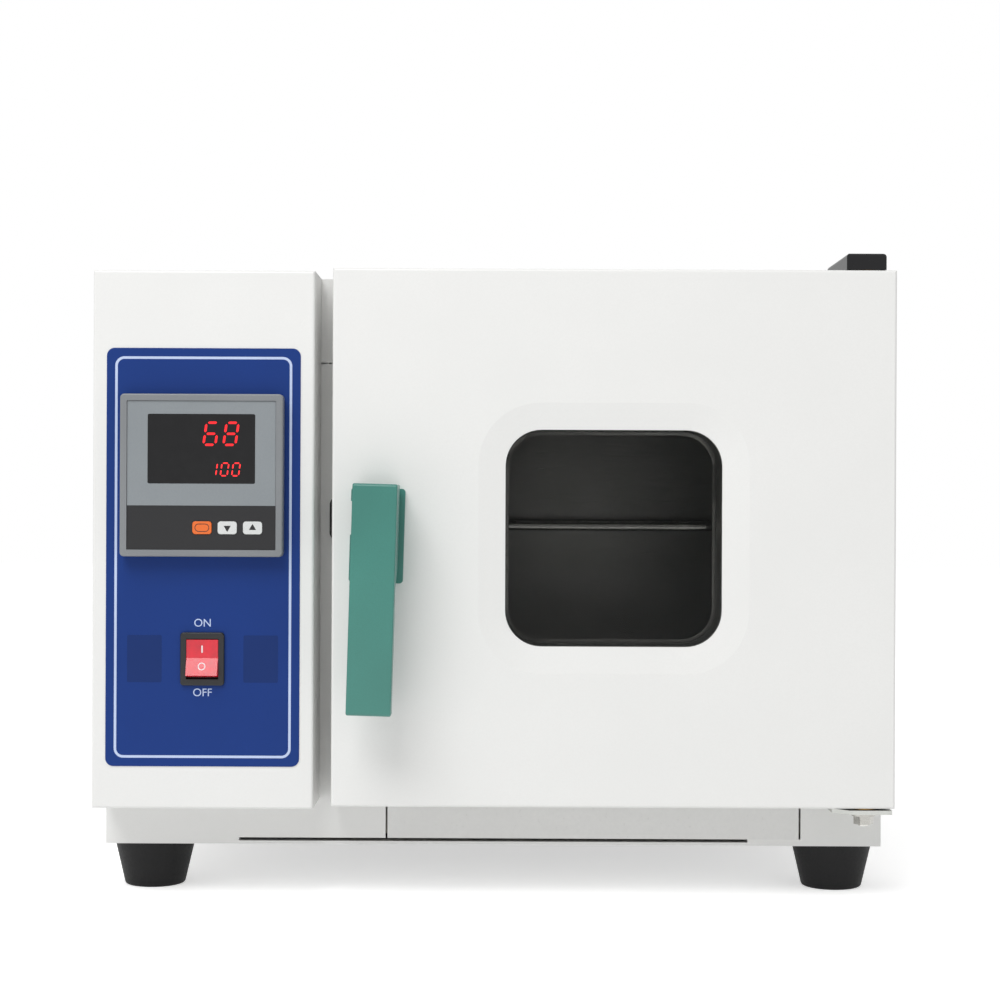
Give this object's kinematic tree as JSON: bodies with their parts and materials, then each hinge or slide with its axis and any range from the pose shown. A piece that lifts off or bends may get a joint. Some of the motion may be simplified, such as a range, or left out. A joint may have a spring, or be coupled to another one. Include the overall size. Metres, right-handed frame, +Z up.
{
  "type": "laboratory drying oven",
  "caption": "Bench drying oven with a side-hinged glazed door, a lever handle and a control box with a temperature controller and rocker switch on the left.",
  "frame": {"origin": "on the bench, midway across the cabinet and midway from the handle's front to the cable gland's end", "axes": "+X right, +Y back, +Z up; the door faces -Y"},
  "size_m": [0.477, 0.427, 0.3906],
  "materials": {
    "back_panel": "fine textured powder coat",
    "base_plate": "fine textured powder coat",
    "cabinet_shell": "fine textured powder coat",
    "cable_gland": "glossy black plastic",
    "chamber_liner": "stainless steel",
    "control_box_cover": "fine textured powder coat",
    "controller_bezel": "grey moulded plastic",
    "controller_case": "black moulded plastic",
    "controller_face": "grey moulded plastic",
    "display_window": "black moulded plastic",
    "door_gasket": "white silicone rubber",
    "door_inner_panel": "stainless steel",
    "door_insulation": "ceramic fibre wool",
    "door_outer_skin": "fine textured powder coat",
    "fixing_screws": "zinc plated steel",
    "foot_back_left": "black moulded rubber",
    "foot_back_right": "black moulded rubber",
    "foot_front_left": "black moulded rubber",
    "foot_front_right": "black moulded rubber",
    "foot_rails": "fine textured powder coat",
    "foot_screws": "zinc plated steel",
    "front_header": "fine textured powder coat",
    "front_sill": "fine textured powder coat",
    "glass_seal": "black moulded rubber",
    "handle_base": "teal green moulded plastic",
    "handle_grip": "teal green moulded plastic",
    "handle_pin": "zinc plated steel",
    "heater_cover": "stainless steel",
    "heater_relay": "black moulded plastic",
    "heating_elements": "stainless steel",
    "hinge_bushes": "sintered bronze",
    "hinge_cover": "glossy black plastic",
    "inner_glass": "tempered glass",
    "insulation_wrap": "ceramic fibre wool",
    "key_down": "white key",
    "key_set": "orange key",
    "key_strip": "black moulded plastic",
    "key_up": "white key",
    "latch_strike": "black moulded plastic",
    "latch_tail": "zinc plated steel",
    "left_front_panel": "fine textured powder coat",
    "lower_hinge_nut": "zinc plated steel",
    "lower_hinge_pin": "zinc plated steel",
    "lower_hinge_plate": "zinc plated steel",
    "outer_glass": "tempered glass",
    "panel_overlay": "matt printed polyester film on steel",
    "partition_wall": "zinc plated steel",
    "right_front_panel": "fine textured powder coat",
    "shelf": "stainless steel",
    "shelf_rails": "stainless steel",
    "switch_housing": "black moulded plastic",
    "switch_rocker": "translucent red plastic",
    "switch_terminals": "zinc plated steel",
    "temperature_probe": "stainless steel",
    "upper_hinge_pin": "zinc plated steel",
    "upper_hinge_plate": "zinc plated steel",
    "vent_cap": "glossy black plastic",
    "vent_neck": "glossy black plastic",
    "window_liner": "zinc plated steel"
  },
  "bodies": {
    "cabinet": {"back_panel": "back_panel", "base_plate": "base_plate", "cabinet_shell": "cabinet_shell", "cable_gland": "cable_gland", "chamber_liner": "chamber_liner", "control_box_cover": "control_box_cover", "controller_bezel": "controller_bezel", "controller_case": "controller_case", "controller_face": "controller_face", "display_window": "display_window", "fixing_screws": "fixing_screws", "foot_back_left": "foot_back_left", "foot_back_right": "foot_back_right", "foot_front_left": "foot_front_left", "foot_front_right": "foot_front_right", "foot_rails": "foot_rails", "foot_screws": "foot_screws", "front_header": "front_header", "front_sill": "front_sill", "heater_cover": "heater_cover", "heater_relay": "heater_relay", "heating_elements": "heating_elements", "hinge_cover": "hinge_cover", "insulation_wrap": "insulation_wrap", "key_strip": "key_strip", "latch_strike": "latch_strike", "left_front_panel": "left_front_panel", "lower_hinge_nut": "lower_hinge_nut", "lower_hinge_pin": "lower_hinge_pin", "lower_hinge_plate": "lower_hinge_plate", "panel_overlay": "panel_overlay", "partition_wall": "partition_wall", "right_front_panel": "right_front_panel", "shelf_rails": "shelf_rails", "switch_housing": "switch_housing", "switch_terminals": "switch_terminals", "temperature_probe": "temperature_probe", "upper_hinge_pin": "upper_hinge_pin", "upper_hinge_plate": "upper_hinge_plate", "vent_neck": "vent_neck"},
    "door": {"door_outer_skin": "door_outer_skin", "door_inner_panel": "door_inner_panel", "door_insulation": "door_insulation", "outer_glass": "outer_glass", "inner_glass": "inner_glass", "window_liner": "window_liner", "glass_seal": "glass_seal", "door_gasket": "door_gasket", "handle_base": "handle_base", "hinge_bushes": "hinge_bushes"},
    "latch_lever": {"handle_grip": "handle_grip", "latch_tail": "latch_tail", "handle_pin": "handle_pin"},
    "shelf": {"shelf": "shelf"},
    "vent_cap": {"vent_cap": "vent_cap"},
    "switch_rocker": {"switch_rocker": "switch_rocker"},
    "key_set": {"key_set": "key_set"},
    "key_down": {"key_down": "key_down"},
    "key_up": {"key_up": "key_up"}
  },
  "joints": [
    {"name": "door_hinge", "type": "hinge", "parent": "cabinet", "child": "door", "pos_m": [0.2215, -0.1655, 0.0588], "axis": [0, 0, 1], "range_deg": [0, 150]},
    {"name": "latch_pull", "type": "hinge", "parent": "door", "child": "latch_lever", "pos_m": [-0.069, -0.1955, 0.236], "axis": [-0.9997, 0, 0.0262], "range_deg": [0, 10], "stiffness_Nm_per_rad": 1.5, "springref_deg": -5.73},
    {"name": "shelf_slide", "type": "slide", "parent": "cabinet", "child": "shelf", "axis": [0, -1, 0], "range_m": [0, 0.012]},
    {"name": "vent_turn", "type": "hinge", "parent": "cabinet", "child": "vent_cap", "pos_m": [0.0614, -0.0055, 0.3768], "axis": [0, 0, 1], "range_deg": [0, 45]},
    {"name": "power_rocker", "type": "hinge", "parent": "cabinet", "child": "switch_rocker", "pos_m": [-0.1728, -0.1749, 0.1463], "axis": [1, 0, 0], "range_deg": [0, 22]},
    {"name": "key_set_press", "type": "slide", "parent": "cabinet", "child": "key_set", "axis": [0, 1, 0], "range_m": [0, 0.0006], "stiffness_N_per_m": 800, "springref_m": -0.0005},
    {"name": "key_down_press", "type": "slide", "parent": "cabinet", "child": "key_down", "axis": [0, 1, 0], "range_m": [0, 0.0006], "stiffness_N_per_m": 800, "springref_m": -0.0005},
    {"name": "key_up_press", "type": "slide", "parent": "cabinet", "child": "key_up", "axis": [0, 1, 0], "range_m": [0, 0.0006], "stiffness_N_per_m": 800, "springref_m": -0.0005}
  ]
}
